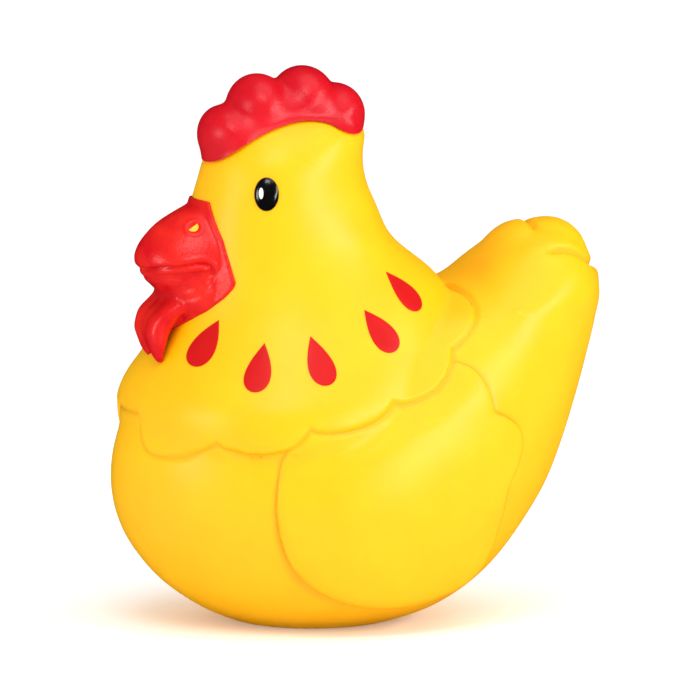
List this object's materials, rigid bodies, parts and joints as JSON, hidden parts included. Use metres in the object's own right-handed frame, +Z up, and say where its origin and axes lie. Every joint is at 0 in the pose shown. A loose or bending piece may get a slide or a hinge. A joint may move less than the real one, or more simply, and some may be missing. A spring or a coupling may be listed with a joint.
{
  "type": "squeaky rubber chicken",
  "caption": "Hollow soft-vinyl toy hen with a lobed comb, hooked beak, wattles, scalloped hackle cape, folded wings and a reed squeaker pushed into its flat base.",
  "frame": {"origin": "middle of the flat base, on the plane that the hen stands on", "axes": "+Z up; the hen faces -Y; its left side is +X"},
  "size_m": [0.062, 0.0821, 0.09],
  "materials": {
    "yellow_vinyl": "satin",
    "red_vinyl": "gloss",
    "red_print": "satin",
    "black_print": "gloss",
    "white_print": "gloss",
    "yellow_print": "satin",
    "squeaker_plastic": "satin",
    "reed_film": "satin"
  },
  "bodies": {
    "body": {"body_shell": "yellow_vinyl", "comb": "red_vinyl", "beak_and_wattles": "red_vinyl", "left_eye": "black_print", "right_eye": "black_print", "left_eye_glint": "white_print", "right_eye_glint": "white_print", "left_nostril": "yellow_print", "right_nostril": "yellow_print", "left_hackle_drop_1": "red_print", "left_hackle_drop_2": "red_print", "left_hackle_drop_3": "red_print", "left_hackle_drop_4": "red_print", "left_hackle_drop_5": "red_print", "right_hackle_drop_1": "red_print", "right_hackle_drop_2": "red_print", "right_hackle_drop_3": "red_print", "right_hackle_drop_4": "red_print", "right_hackle_drop_5": "red_print"},
    "squeaker": {"squeaker_barrel": "squeaker_plastic", "squeaker_reed_seat": "squeaker_plastic", "squeaker_reed_wedge": "squeaker_plastic", "squeaker_end_cap": "squeaker_plastic"},
    "reed": {"squeaker_reed": "reed_film"}
  },
  "joints": [
    {"name": "squeaker_pull", "type": "slide", "parent": "body", "child": "squeaker", "axis": [0, 0, -1], "range_m": [0, 0.014]},
    {"name": "reed_beat", "type": "hinge", "parent": "squeaker", "child": "reed", "pos_m": [0, 0.00075, 0.0058], "axis": [1, 0, 0], "range_deg": [-6, 3.5], "stiffness_Nm_per_rad": 0.0015}
  ]
}
